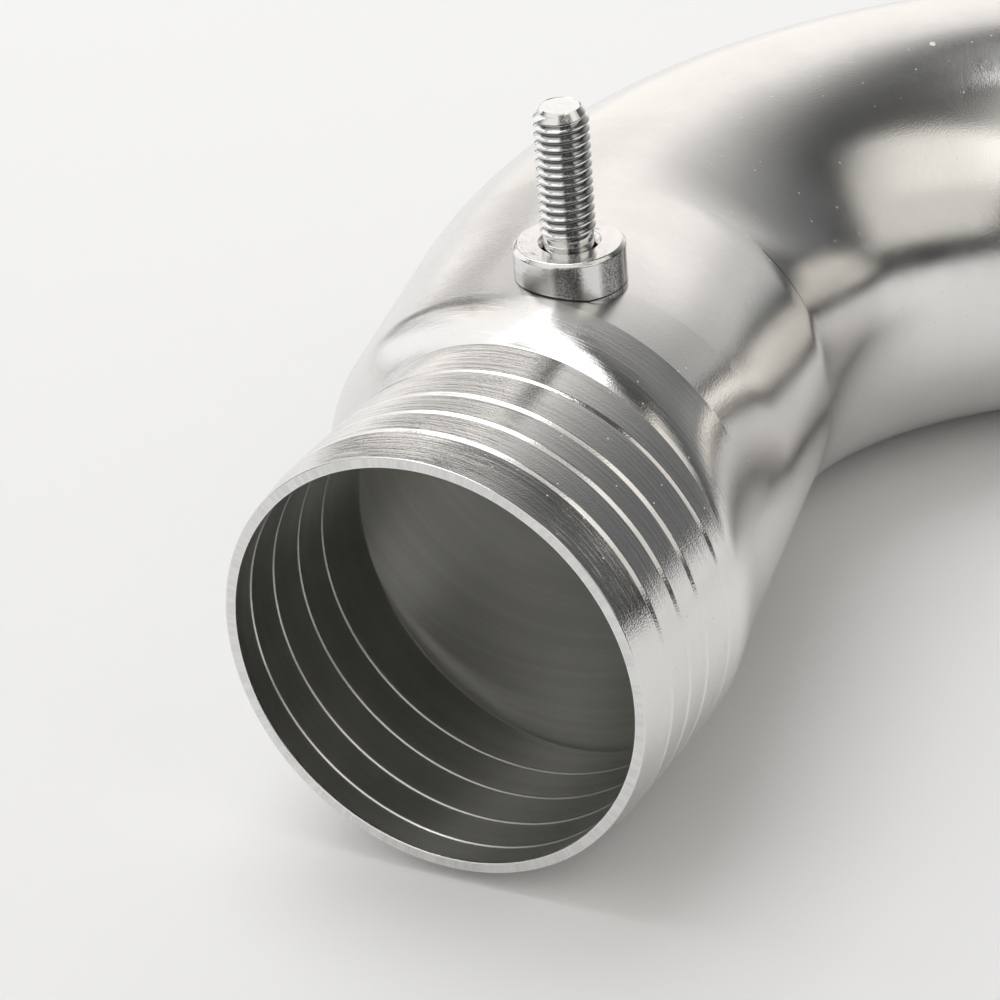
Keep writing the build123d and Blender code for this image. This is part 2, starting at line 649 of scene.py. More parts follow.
@dataclass
class ThreadedStud:
    """Stud with a rolled thread over a short plain shank."""

    boss: StudBoss
    reach: float = 19.2
    shank_r: float = 2.7
    shank_above_boss: float = 1.0
    crest_r: float = 2.95
    root_r: float = 2.42
    pitch: float = 1.0
    flat_share: float = 0.07
    tooth_round: float = 0.05
    spare_turns: float = 1.6
    crest_runout: float = 0.3
    tip_length: float = 1.1
    tip_drop: float = 0.8
    cap_inset: float = 0.12
    cap_rise: float = 0.03
    segments: int = 96

    @property
    def shank_top(self) -> float:
        """Height above the tube's crown where the thread begins."""
        return self.boss.height + self.shank_above_boss

    def tooth(self) -> list[Span]:
        """Lays out one thread turn.

        Returns:
            The rounded outline as (height, radius), without the point that the next turn begins with.
        """
        flat = self.flat_share
        corners = [
            (0.0, self.root_r),
            (flat * self.pitch, self.root_r),
            ((0.5 - flat) * self.pitch, self.crest_r),
            ((0.5 + flat) * self.pitch, self.crest_r),
            ((1 - flat) * self.pitch, self.root_r),
            (self.pitch, self.root_r),
        ]
        return rounded(corners, self.tooth_round, 2)[:-1]

    def build(self, material: bpy.types.Material) -> bpy.types.Object:
        """Spins the thread as one rising turn of a toothed outline, then trims it and adds the shank.

        Args:
            material: The stud's finish.

        Returns:
            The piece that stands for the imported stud.
        """
        low = self.shank_top
        outline = []
        for turn in range(math.ceil((self.reach - low) / self.pitch) + 2):
            foot = low + (turn - self.spare_turns) * self.pitch
            outline += [(radius, foot + height) for height, radius in self.tooth()]
        bm = spun(outline, self.segments, self.pitch)
        for height, normal in ((low, -1), (self.reach, 1)):
            bmesh.ops.bisect_plane(
                bm,
                geom=bm.verts[:] + bm.edges[:] + bm.faces[:],
                plane_co=(0, 0, height),
                plane_no=(0, 0, normal),
                clear_outer=True,
            )
        for vert in bm.verts:
            flat = Vector((vert.co.x, vert.co.y))
            radius = self.trimmed(flat.length, vert.co.z - low)
            vert.co.x, vert.co.y = flat.normalized() * radius
        self._close_ends(bm)
        bmesh.ops.translate(bm, vec=self.boss.foot, verts=bm.verts)
        piece = finish_piece(bm, "stud", [material])
        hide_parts("mount_stud")
        return piece

    def trimmed(self, radius: float, height: float) -> float:
        """Finds the radius of a thread point once the run-out and the tip are cut.

        Args:
            radius: The point's own radius.
            height: Its height above the shank.

        Returns:
            The radius that stays.
        """
        run_out = self.shank_r - (self.shank_r - self.root_r) * min(height / self.pitch, 1)
        tip_start = self.reach - self.shank_top - self.tip_length
        tip = self.crest_r - self.tip_drop * max(height - tip_start, 0) / self.tip_length
        grown = min(height / (self.crest_runout * self.pitch), 1)
        crest = self.shank_r + (self.crest_r - self.shank_r) * grown
        return min(max(radius, run_out), crest, tip)

    def _close_ends(self, bm: bmesh.types.BMesh) -> None:
        """Adds the shank under the thread and the flat cap on the tip.

        Args:
            bm: The trimmed thread, open at both ends.
        """
        middle = (self.shank_top + self.reach) / 2
        open_edges = [edge for edge in bm.edges if edge.is_boundary]
        shank = [edge for edge in open_edges if edge.verts[0].co.z < middle]
        cap = [edge for edge in open_edges if edge.verts[0].co.z >= middle]
        made = bmesh.ops.extrude_edge_only(bm, edges=shank)["geom"]
        verts = [item for item in made if isinstance(item, bmesh.types.BMVert)]
        bmesh.ops.translate(bm, vec=(0, 0, self.boss.floor - self.shank_top), verts=verts)
        bmesh.ops.holes_fill(bm, edges=loop_edges(verts))
        top = bmesh.ops.holes_fill(bm, edges=cap)["faces"]
        bmesh.ops.inset_region(bm, faces=top, thickness=self.cap_inset, depth=self.cap_rise)
        for edge in cap + [edge for face in top for edge in face.edges]:
            edge.smooth = False


class NodeSheet:
    """Short-hand for laying out a node tree."""

    def __init__(self, tree: bpy.types.NodeTree) -> None:
        """Keeps the tree that the nodes go into."""
        self.tree = tree

    def add(self, kind: str, **values: object) -> bpy.types.Node:
        """Adds a node and sets its properties.

        Args:
            kind: The node's type name.
            values: Properties to set on it.

        Returns:
            The node.
        """
        node = self.tree.nodes.new(kind)
        for name, value in values.items():
            setattr(node, name, value)
        return node

    def feed(self, socket: Socket, value: object) -> None:
        """Links an input to a socket, or sets the input's value.

        Args:
            socket: The input.
            value: A socket, a number or a point.
        """
        if isinstance(value, Socket):
            self.tree.links.new(value, socket)
        else:
            socket.default_value = value

    def math(self, operation: str, *parts: Value) -> Socket:
        """Adds as many Math nodes as it takes to run an operation over some parts.

        Args:
            operation: The operation.
            parts: Sockets or numbers, at least two unless the operation takes one.

        Returns:
            The result's socket.
        """
        out, *others = parts
        for part in others or (0.0,):
            node = self.add("ShaderNodeMath", operation=operation)
            self.feed(node.inputs[0], out)
            self.feed(node.inputs[1], part)
            out = node.outputs[0]
        return out

    def total(self, *parts: Value) -> Socket:
        """Adds up sockets and numbers."""
        return self.math("ADD", *parts)

    def product(self, *parts: Value) -> Socket:
        """Multiplies sockets and numbers."""
        return self.math("MULTIPLY", *parts)

    def off(self, value: Socket, middle: float) -> Socket:
        """Finds how far a value is from a number."""
        return self.math("ABSOLUTE", self.math("SUBTRACT", value, middle))

    def vector(self, operation: str, first: object, second: object = (0, 0, 0)) -> Socket:
        """Adds a Vector Math node.

        Args:
            operation: Its operation.
            first: A socket or a point.
            second: A socket or a point.

        Returns:
            The result's socket, a number where the operation measures.
        """
        node = self.add("ShaderNodeVectorMath", operation=operation)
        self.feed(node.inputs[0], first)
        self.feed(node.inputs[1], second)
        return node.outputs["Value" if operation in MEASURES else "Vector"]

    def split(self, vector: Socket) -> tuple[Socket, ...]:
        """Takes a vector apart into its three numbers."""
        node = self.add("ShaderNodeSeparateXYZ")
        self.feed(node.inputs[0], vector)
        return tuple(node.outputs)

    def join(self, *parts: Value) -> Socket:
        """Puts up to three numbers together as a vector."""
        node = self.add("ShaderNodeCombineXYZ")
        for socket, part in zip(node.inputs, parts):
            self.feed(socket, part)
        return node.outputs[0]

    def mapped(self, vector: Socket, scale: Point, place: Point = (0, 0, 0)) -> Socket:
        """Moves and stretches coordinates with a Mapping node.

        Args:
            vector: The coordinates.
            scale: Their stretch along each axis.
            place: Their shift.

        Returns:
            The new coordinates.
        """
        node = self.add("ShaderNodeMapping")
        node.inputs["Location"].default_value = place
        node.inputs["Scale"].default_value = scale
        self.feed(node.inputs["Vector"], vector)
        return node.outputs["Vector"]

    def noise(self, vector: Socket, scale: float, detail: float = 1.0, rough: float = 0.5) -> Socket:
        """Adds a Noise Texture.

        Args:
            vector: Its coordinates.
            scale: Its scale.
            detail: Its finer layers.
            rough: The weight of the finer layers.

        Returns:
            Its factor.
        """
        node = self.add("ShaderNodeTexNoise")
        values = {"Vector": vector, "Scale": scale, "Detail": detail, "Roughness": rough}
        for name, value in values.items():
            self.feed(node.inputs[name], value)
        return node.outputs["Fac"]

    def ramp(self, value: Socket, span: Span, to_low: float, to_high: float, even: bool = False) -> Socket:
        """Maps a value from one span to another, clamped.

        Args:
            value: The value.
            span: The numbers that it goes from and to.
            to_low: The result at the first number.
            to_high: The result at the second number.
            even: Whether the result changes evenly, without easing in and out.

        Returns:
            The result.
        """
        node = self.add("ShaderNodeMapRange", interpolation_type="LINEAR" if even else "SMOOTHSTEP")
        names = ("From Min", "From Max", "To Min", "To Max")
        for name, number in zip(names, (*span, to_low, to_high)):
            node.inputs[name].default_value = number
        self.feed(node.inputs["Value"], value)
        return node.outputs["Result"]

    def group(self, tree: bpy.types.NodeTree, **values: object) -> bpy.types.Node:
        """Adds a node group and feeds its inputs by name.

        Args:
            tree: The group's tree.
            values: A socket or a value for each of its inputs.

        Returns:
            The node.
        """
        node = self.add("ShaderNodeGroup", node_tree=tree)
        for name, value in values.items():
            self.feed(node.inputs[name], value)
        return node


def new_group(name: str, inputs: dict[str, str], outputs: dict[str, str]) -> tuple[NodeSheet, dict, dict]:
    """Starts a shader node group.

    Args:
        name: The group's name.
        inputs: Socket types of its inputs by name.
        outputs: Socket types of its outputs by name.

    Returns:
        The sheet of the new tree, its input sockets and its output sockets, by name.
    """
    tree = bpy.data.node_groups.new(name, "ShaderNodeTree")
    for title, kind in inputs.items():
        tree.interface.new_socket(title, in_out="INPUT", socket_type=kind)
    for title, kind in outputs.items():
        tree.interface.new_socket(title, in_out="OUTPUT", socket_type=kind)
    sheet = NodeSheet(tree)
    given = sheet.add("NodeGroupInput").outputs
    wanted = sheet.add("NodeGroupOutput").inputs
    return sheet, {t: given[t] for t in inputs}, {t: wanted[t] for t in outputs}


def new_material(name: str) -> tuple[bpy.types.Material, NodeSheet, bpy.types.Node]:
    """Starts a material.

    Args:
        name: The material's name.

    Returns:
        The material, the sheet of its tree and its Principled node.
    """
    material = bpy.data.materials.new(name)
    material.use_nodes = True
    tree = material.node_tree
    return material, NodeSheet(tree), tree.nodes["Principled BSDF"]


@dataclass(frozen=True)
class WorkedGrain:
    """Fine grain and hairlines of worked metal, an effect that all the metals share."""

    grain_scale: float = 5200
    patch_scale: float = 0.31
    patch: Span = (0.35, 0.65)
    faint: float = 0.25
    scratch: Span = (0.6, 0.7)
    scratch_height: float = 0.5

    def build(self) -> bpy.types.NodeTree:
        """Makes the effect.

        Returns:
            A group that takes the place and the coordinates stretched along the hairlines, and
            gives a bump height and the hairlines' own pattern.
        """
        number, vector = "NodeSocketFloat", "NodeSocketVector"
        sheet, given, wanted = new_group(
            "worked_grain",
            {"Place": vector, "Lines": vector, "Grain": number, "Hairlines": number},
            {"Height": number, "Streak": number},
        )
        grain = sheet.noise(given["Place"], self.grain_scale)
        fine = sheet.noise(given["Lines"], 1.0, 2.0, 0.6)
        patches = sheet.ramp(sheet.noise(given["Lines"], self.patch_scale), self.patch, self.faint, 1.0)
        streak = sheet.product(fine, patches)
        scratch = sheet.ramp(fine, self.scratch, 0.0, self.scratch_height)
        lines = sheet.product(sheet.total(streak, scratch), given["Hairlines"])
        sheet.feed(wanted["Height"], sheet.total(sheet.product(grain, given["Grain"]), lines))
        sheet.feed(wanted["Streak"], streak)
        return sheet.tree


@dataclass(frozen=True)
class HandlingMarks:
    """Soft unevenness that handling leaves on bare metal, an effect that all the metals share."""

    cloud_scale: float = 70
    speck_scale: float = 900
    speck_share: float = 0.3
    shown: Span = (0.45, 0.85)

    def build(self) -> bpy.types.NodeTree:
        """Makes the effect.

        Returns:
            A group that takes coordinates and gives a factor from 0 to 1.
        """
        sheet, given, wanted = new_group(
            "handled", {"Place": "NodeSocketVector"}, {"Factor": "NodeSocketFloat"}
        )
        clouds = sheet.noise(given["Place"], self.cloud_scale, 3.0, 0.55)
        specks = sheet.noise(given["Place"], self.speck_scale, 2.0, 0.6)
        both = sheet.total(clouds, sheet.product(specks, self.speck_share))
        sheet.feed(wanted["Factor"], sheet.ramp(both, self.shown, 0.0, 1.0))
        return sheet.tree


@dataclass(frozen=True)
class PipePlace:
    """Place in the straightened pipe that the swept walls carry, for their finishes to read."""

    sheet: NodeSheet
    vector: Socket
    side: Socket
    up: Socket
    station: Socket
    angle: Socket

    @classmethod
    def read(cls, sheet: NodeSheet) -> "PipePlace":
        """Reads the place, and the angle from the crown towards the bend's inner side.

        Args:
            sheet: Sheet of the material's tree.

        Returns:
            The place in metres and radians.
        """
        vector = sheet.add("ShaderNodeAttribute", attribute_name="straight").outputs["Vector"]
        side, up, station = sheet.split(vector)
        return cls(sheet, vector, side, up, station, sheet.math("ARCTAN2", side, up))

    def along(self, span: Span, start: float, end: float, even: bool = False) -> Socket:
        """Gives a value that changes over a span along the pipe, in millimetres from the cut end."""
        return self.sheet.ramp(self.station, metres(span), start, end, even)

    def around(self, span: Span, start: float, end: float) -> Socket:
        """Gives a value that changes over a span around the pipe, in degrees from the crown."""
        return self.sheet.ramp(self.angle, tuple(map(math.radians, span)), start, end)

    def beside(self, station: float, span: Span, start: float, end: float) -> Socket:
        """Gives a value that changes with the distance along the pipe from a station."""
        return self.sheet.ramp(self.sheet.off(self.station, station * MM), metres(span), start, end)

    def near(self, point: Point, span: Span, start: float, end: float) -> Socket:
        """Gives a value that changes with the distance from a point."""
        away = self.sheet.vector("DISTANCE", self.vector, metres(point))
        return self.sheet.ramp(away, metres(span), start, end)


@dataclass(frozen=True)
class MetalFinish:
    """A bare metal with its grain, hairlines and handling marks."""

    name: str
    color: Color
    roughness: float
    spread: float = 0.06
    bump: float = 0.1
    bump_reach: float = 0.1

    def start(self) -> tuple[bpy.types.Material, NodeSheet, bpy.types.Node]:
        """Starts the material.

        Returns:
            The material, the sheet of its tree and its Principled node.
        """
        material, sheet, shader = new_material(self.name)
        shader.inputs["Metallic"].default_value = 1.0
        return material, sheet, shader

    def tone(self, sheet: NodeSheet, shader: bpy.types.Node, factor: Socket, darker_tone: float) -> None:
        """Mixes the metal's colour towards a darker one, for marks and for painted shade, and feeds the
        shader.

        Args:
            sheet: Sheet of the material's tree.
            shader: Its Principled node.
            factor: Where the colour is duller.
            darker_tone: Brightness of the duller colour against the clean one.
        """
        mix = sheet.add("ShaderNodeMix", data_type="RGBA")
        sheet.feed(mix.inputs["Factor"], factor)
        mix.inputs[MIX_CLEAN].default_value = (*self.color, 1)
        mix.inputs[MIX_DARKER].default_value = (*(part * darker_tone for part in self.color), 1)
        sheet.feed(shader.inputs["Base Color"], mix.outputs[MIX_RESULT])

    def gloss(self, sheet: NodeSheet, shader: bpy.types.Node, marks: Socket, *more: Socket) -> None:
        """Feeds the shader's roughness.

        Args:
            sheet: Sheet of the material's tree.
            shader: Its Principled node.
            marks: The handling marks.
            more: Further roughness to add.
        """
        rough = sheet.total(self.roughness, *more, sheet.product(marks, self.spread))
        sheet.feed(shader.inputs["Roughness"], rough)

    def relief(
        self, sheet: NodeSheet, shader: bpy.types.Node, height: Socket, base: Socket | None = None
    ) -> None:
        """Feeds the shader's normal with a fine height.

        Args:
            sheet: Sheet of the material's tree.
            shader: Its Principled node.
            height: The height, in units of the bump's reach.
            base: The normal that the height is laid over, where it isn't the mesh's own.
        """
        bump = sheet.add("ShaderNodeBump")
        bump.inputs["Strength"].default_value = self.bump
        bump.inputs["Distance"].default_value = self.bump_reach * MM
        sheet.feed(bump.inputs["Height"], height)
        if base is not None:
            sheet.feed(bump.inputs["Normal"], base)
        sheet.feed(shader.inputs["Normal"], bump.outputs["Normal"])


@dataclass(frozen=True)
class TubeFinish(MetalFinish):
    """Polished aluminium: satin on the tube, brighter and hairlined on the worked neck."""

    lines: Point = (150, 150, 7000)
    worked: Span = (27.0, 38.0)
    worked_gloss: float = -0.01
    grain: Span = (1.1, 0.8)
    hairlines: Span = (0.08, 1.9)
    score: float = 22.9
    score_half: Span = (0.04, 0.12)
    score_starts: Span = (-26.0, -18.0)
    score_depth: float = 1.6
    pits: tuple[Point, ...] = ((24.38, 2.41, 15.04), (24.04, -4.73, 20.63))
    pit_r: Span = (0.1, 0.5)
    pit_depth: float = 4.0
    swell: float = 2.5
    swell_rises: Span = (24.4, 34.4)
    swell_runs_out: Span = (32.9, 72.0)
    swell_starts: Span = (-14.0, 8.0)
    swell_ends: Span = (34.0, 80.0)
    leans: tuple[tuple[Point, Span], ...] = (
        ((-0.1, 0.075, 0.085), (2.0, 34.0)),
        ((-0.045, -0.085, 0.032), (22.0, 42.0)),
    )
    lean_starts: Span = (32.0, 44.0)
    lean_ends: Span = (61.0, 64.6)
    boss_place: Span = (3.0, 40.4)
    scorch: float = 0.14
    scorch_r: Span = (7.0, 13.0)
    upper_half: Span = (0.0, 10.0)
    out_of_reach: float = 0.1
    weld: float = 63.8
    weld_half: Span = (0.04, 0.14)
    weld_starts: Span = (45.0, 47.0)
    weld_fades: Span = (52.0, 76.0)
    weld_faint: float = 0.25
    weld_tone: float = 0.03
    stain_and_painted_shade: float = 0.04
    tube_r: float = 25.4
    dust_scale: float = 260
    dust_r: Span = (0.018, 0.034)
    dust_chance: Span = (0.45, 0.7)
    fleck: Point = (6.47, 24.56, 120.72)
    fleck_r: Span = (0.32, 0.5)

    def build(self, grain: bpy.types.NodeTree, handled: bpy.types.NodeTree) -> bpy.types.Material:
        """Makes the material.

        Args:
            grain: The worked grain's group.
            handled: The handling marks' group.

        Returns:
            The material, which reads the place in the straightened pipe.
        """
        material, sheet, shader = self.start()
        place = PipePlace.read(sheet)
        worked = place.along(self.worked, 1.0, 0.0)
        plain_grain, more_grain = self.grain
        plain_lines, more_lines = self.hairlines
        surface = sheet.group(
            grain,
            Place=place.vector,
            Lines=sheet.mapped(place.vector, self.lines),
            Grain=sheet.total(sheet.product(worked, more_grain), plain_grain),
            Hairlines=sheet.total(sheet.product(worked, more_lines), plain_lines),
        )
        scored = sheet.product(
            place.beside(self.score, self.score_half, -self.score_depth, 0.0),
            place.around(self.score_starts, 0.0, 1.0),
        )
        pits = [place.near(pit, self.pit_r, -self.pit_depth, 0.0) for pit in self.pits]
        height = sheet.total(surface.outputs["Height"], scored, *pits)
        self.relief(sheet, shader, height, self._shoulder(place))
        marks = sheet.group(handled, Place=place.vector).outputs["Factor"]
        self.gloss(sheet, shader, marks, sheet.product(worked, self.worked_gloss), self._scorch(place))
        dark = sheet.math("MAXIMUM", self._weld(place), sheet.product(marks, self.stain_and_painted_shade))
        self.tone(sheet, shader, dark, self.weld_tone)
        sheet.feed(shader.inputs["Metallic"], sheet.math("SUBTRACT", 1.0, self._dust(place)))
        return material

    def _shoulder(self, place: PipePlace) -> Socket:
        """Shades the low swell of the shoulder, which rises from the crease and runs out on the tube.

        Args:
            place: Place in the straightened pipe.

        Returns:
            The normal of the swell, laid over the lean of the flank.
        """
        swell = place.sheet.product(
            place.along(self.swell_rises, 0.0, 1.0, even=True),
            place.along(self.swell_runs_out, 1.0, 0.0),
            place.around(self.swell_starts, 0.0, self.swell),
            place.around(self.swell_ends, 1.0, 0.0),
        )
        broad = place.sheet.add("ShaderNodeBump")
        broad.inputs["Distance"].default_value = MM
        place.sheet.feed(broad.inputs["Height"], swell)
        place.sheet.feed(broad.inputs["Normal"], self._flank(place))
        return broad.outputs["Normal"]

    def _flank(self, place: PipePlace) -> Socket:
        """Shades a slight lean of the straight tube's inner flank, up to the weld.

        Args:
            place: Place in the straightened pipe.

        Returns:
            The leaning normal.
        """
        sheet = place.sheet
        begins = place.along(self.lean_starts, 0.0, 1.0)
        reach = sheet.product(begins, place.along(self.lean_ends, 1.0, 0.0))
        normal = sheet.add("ShaderNodeNewGeometry").outputs["Normal"]
        for lean, span in self.leans:
            turned = sheet.vector("MULTIPLY", sheet.product(place.around(span, 0.0, 1.0), reach), lean)
            normal = sheet.vector("ADD", normal, turned)
        return sheet.vector("NORMALIZE", normal)

    def _scorch(self, place: PipePlace) -> Socket:
        """Dulls the metal around the boss's foot, on the upper half of the pipe.

        Args:
            place: Place in the straightened pipe.

        Returns:
            The roughness to add.
        """
        sheet = place.sheet
        across, along = metres(self.boss_place)
        foot = sheet.join(
            sheet.math("SUBTRACT", place.side, across),
            sheet.math("SUBTRACT", place.station, along),
            sheet.ramp(place.up, metres(self.upper_half), self.out_of_reach, 0.0),
        )
        return sheet.ramp(sheet.vector("LENGTH", foot), metres(self.scorch_r), self.scorch, 0.0)

    def _weld(self, place: PipePlace) -> Socket:
        """Draws the weld's dark hairline, which fades down the inner side of the bend.

        Args:
            place: Place in the straightened pipe.

        Returns:
            A factor that is 1 on the line.
        """
        return place.sheet.product(
            place.beside(self.weld, self.weld_half, 1.0, 0.0),
            place.around(self.weld_starts, 0.0, 1.0),
            place.around(self.weld_fades, 1.0, self.weld_faint),
        )

    def _dust(self, place: PipePlace) -> Socket:
        """Strews pale specks of dust, few and far between, and one larger fleck.

        Args:
            place: Place in the straightened pipe.

        Returns:
            A factor that is 1 on a speck.
        """
        sheet = place.sheet
        cells = sheet.add("ShaderNodeTexVoronoi", voronoi_dimensions="2D")
        cells.inputs["Scale"].default_value = self.dust_scale
        rolled = sheet.join(sheet.product(place.angle, self.tube_r * MM), place.station)
        sheet.feed(cells.inputs["Vector"], rolled)
        chance = sheet.split(cells.outputs["Color"])[0]
        specks = sheet.product(
            sheet.ramp(cells.outputs["Distance"], self.dust_r, 1.0, 0.0),
            sheet.ramp(chance, self.dust_chance, 0.0, 1.0),
        )
        return sheet.math("MAXIMUM", specks, place.near(self.fleck, self.fleck_r, 1.0, 0.0))


@dataclass(frozen=True)
class BoreFinish(MetalFinish):
    """Dull aluminium inside the pipe, with the mandrel's marks around it and painted shade that darkens it
    deeper in, where less light reaches.
    """

    lines: Point = (40, 40, 2500)
    grain: float = 0.5
    hairlines: float = 0.7
    # Painted shade: the bore darkens between these stations, deeper in where less light reaches
    stain_and_painted_shade: Span = (40.0, 110.0)
    painted_shade_depth: float = 0.7
    streak_share: float = 0.3
    darker_tone: float = 0.45

    def build(self, grain: bpy.types.NodeTree, handled: bpy.types.NodeTree) -> bpy.types.Material:
        """Makes the material.

        Args:
            grain: The worked grain's group.
            handled: The handling marks' group.

        Returns:
            The material, which reads the place in the straightened pipe.
        """
        material, sheet, shader = self.start()
        place = PipePlace.read(sheet)
        surface = sheet.group(
            grain,
            Place=place.vector,
            Lines=sheet.mapped(place.vector, self.lines),
            Grain=self.grain,
            Hairlines=self.hairlines,
        )
        self.relief(sheet, shader, surface.outputs["Height"])
        self.gloss(sheet, shader, sheet.group(handled, Place=place.vector).outputs["Factor"])
        # Painted shade, darker deeper in the pipe
        painted_shade = place.along(self.stain_and_painted_shade, 0.0, self.painted_shade_depth)
        streaked = sheet.product(surface.outputs["Streak"], self.streak_share)
        self.tone(sheet, shader, sheet.total(painted_shade, streaked), self.darker_tone)
        return material


@dataclass(frozen=True)
class CutFinish(MetalFinish):
    """Sawn end of the wall, with short marks across it."""

    marks_around: float = 110
    marks_across: float = 500
    grain: float = 0.25
    hairlines: float = 1.4
    darker_tone: float = 0.75

    def build(self, grain: bpy.types.NodeTree, handled: bpy.types.NodeTree) -> bpy.types.Material:
        """Makes the material.

        Args:
            grain: The worked grain's group.
            handled: The handling marks' group.

        Returns:
            The material, whose marks run across the wall.
        """
        material, sheet, shader = self.start()
        place = PipePlace.read(sheet)
        radius = sheet.vector("LENGTH", sheet.mapped(place.vector, (1, 1, 0)))
        turned = sheet.product(sheet.math("ARCTAN2", place.up, place.side), self.marks_around)
        surface = sheet.group(
            grain,
            Place=place.vector,
            Lines=sheet.join(turned, sheet.product(radius, self.marks_across)),
            Grain=self.grain,
            Hairlines=self.hairlines,
        )
        self.relief(sheet, shader, surface.outputs["Height"])
        self.gloss(sheet, shader, sheet.group(handled, Place=place.vector).outputs["Factor"])
        self.tone(sheet, shader, surface.outputs["Streak"], self.darker_tone)
        return material


@dataclass(frozen=True)
class TurnedFinish(MetalFinish):
    """Turned metal around the stud's axis: fine turning lines, a few dents, painted dark reflection stripes
    on the outer side, painted shade at the thread's root, and a dark foot line that is partly the joint and
    partly painted shade.
    """

    lines: float = 6000
    grain: float = 0.3
    hairlines: float = 0.4
    dents: float = 0.0
    dent_scale: float = 420
    dented: Span = (0.6, 0.72)
    # Painted shade at the root of the thread, up to a height
    root_r: float = 0.0
    root_shade_reach: float = 0.35
    root_shade_tone: float = 0.8
    root_shade_end: Span = (17.6, 18.2)
    worn: float = 0.1
    # Painted reflections: dark stripes at fixed angles around the axis, from a radius outward
    painted_reflection_bands: tuple[Span, ...] = ()
    painted_bands_from: float = 0.0
    painted_band_edge: float = 0.12
    painted_band_tone: float = 0.85
    speckle_scale: float = 5000
    speckled: Span = (0.3, 0.7)
    speckle_faint: float = 0.65
    darker_tone: float = 0.03
    tube_r: float = 25.4
    offset: float = 3.0
    seat: float = 0.75
    # Dark foot line: partly the joint, partly painted shade of the gap under the boss
    foot_joint_and_shade_line: Span = (0.1, 0.22)
    foot_joint_and_shade_starts: Span = (-0.06, 0.0)

    def build(
        self, grain: bpy.types.NodeTree, handled: bpy.types.NodeTree, axis: Vector
    ) -> bpy.types.Material:
        """Makes the material.

        Args:
            grain: The worked grain's group.
            handled: The handling marks' group.
            axis: The point on the turning axis at the height of the tube's crown, in metres.

        Returns:
            The material, whose lines run around the axis.
        """
        material, sheet, shader = self.start()
        place = sheet.add("ShaderNodeTexCoord").outputs["Object"]
        centred = sheet.mapped(place, (1, 1, 1), tuple(-axis))
        radius = sheet.vector("LENGTH", sheet.mapped(centred, (1, 1, 0)))
        side, ahead, height = sheet.split(centred)
        turned = sheet.join(sheet.product(radius, self.lines), 0.0, sheet.product(height, self.lines))
        surface = sheet.group(
            grain, Place=centred, Lines=turned, Grain=self.grain, Hairlines=self.hairlines
        )
        dents = sheet.ramp(sheet.noise(centred, self.dent_scale), self.dented, 0.0, -self.dents)
        self.relief(sheet, shader, sheet.total(surface.outputs["Height"], dents))
        marks = sheet.group(handled, Place=centred).outputs["Factor"]
        self.gloss(sheet, shader, marks)
        # Painted shade at the root of the thread
        root_shade_span = metres((self.root_r, self.root_r + self.root_shade_reach))
        root_shade = sheet.product(
            sheet.ramp(radius, root_shade_span, self.root_shade_tone, 0.0),
            sheet.ramp(height, metres(self.root_shade_end), 1.0, 0.0),
        )
        angle = sheet.math("ARCTAN2", ahead, side)
        # Darker at the foot line (partly the joint, partly painted shade), at the thread's root (painted
        # shade) and where worn
        dark = [self._foot_joint_and_shade(sheet, place, axis), root_shade, sheet.product(marks, self.worn)]
        # Painted reflections: dark stripes on the outer side
        dark += self._painted_reflection_bands(sheet, centred, radius, angle)
        self.tone(sheet, shader, sheet.math("MAXIMUM", *dark), self.darker_tone)
        return material

    def _painted_reflection_bands(self, sheet: NodeSheet, centred: Socket, radius: Socket, angle: Socket) -> list[Socket]:
        """Makes the painted dark reflection stripes on the metal's outer side.

        Args:
            sheet: Sheet of the material's tree.
            centred: Coordinates from the axis.
            radius: Distance from the axis.
            angle: Angle around the axis.

        Returns:
            A factor for each band, speckled and soft at its edges.
        """
        speckle = sheet.ramp(
            sheet.noise(centred, self.speckle_scale), self.speckled, self.speckle_faint, 1.0
        )
        edge = metres((self.painted_bands_from - self.painted_band_edge, self.painted_bands_from))
        on_side = sheet.product(speckle, sheet.ramp(radius, edge, 0.0, 1.0))
        painted_reflection_bands = []
        for middle, half in self.painted_reflection_bands:
            span = (math.radians(half / 2), math.radians(half))
            band = sheet.ramp(sheet.off(angle, math.radians(middle)), span, self.painted_band_tone, 0.0)
            painted_reflection_bands.append(sheet.product(band, on_side))
        return painted_reflection_bands

    def _foot_joint_and_shade(self, sheet: NodeSheet, place: Socket, axis: Vector) -> Socket:
        """Draws the dark line where the metal stands on the tube: partly the joint, partly painted shade of
        the gap under the boss.

        Args:
            sheet: Sheet of the material's tree.
            place: Object coordinates.
            axis: The point on the turning axis at the height of the tube's crown.

        Returns:
            A factor that is 1 on the tube and 0 a little above it.
        """
        tube = axis - Vector((self.offset, 0, self.tube_r)) * MM
        centred = sheet.mapped(place, (1, 1, 1), tuple(-tube))
        out = sheet.vector("LENGTH", sheet.mapped(centred, (1, 0, 1)))
        lift = sheet.math("SUBTRACT", sheet.split(centred)[2], (self.tube_r - self.seat) * MM)
        near = sheet.math("MINIMUM", sheet.math("SUBTRACT", out, self.tube_r * MM), lift)
        line = sheet.ramp(near, metres(self.foot_joint_and_shade_line), 1.0, 0.0)
        return sheet.product(line, sheet.ramp(lift, metres(self.foot_joint_and_shade_starts), 0.0, 1.0))


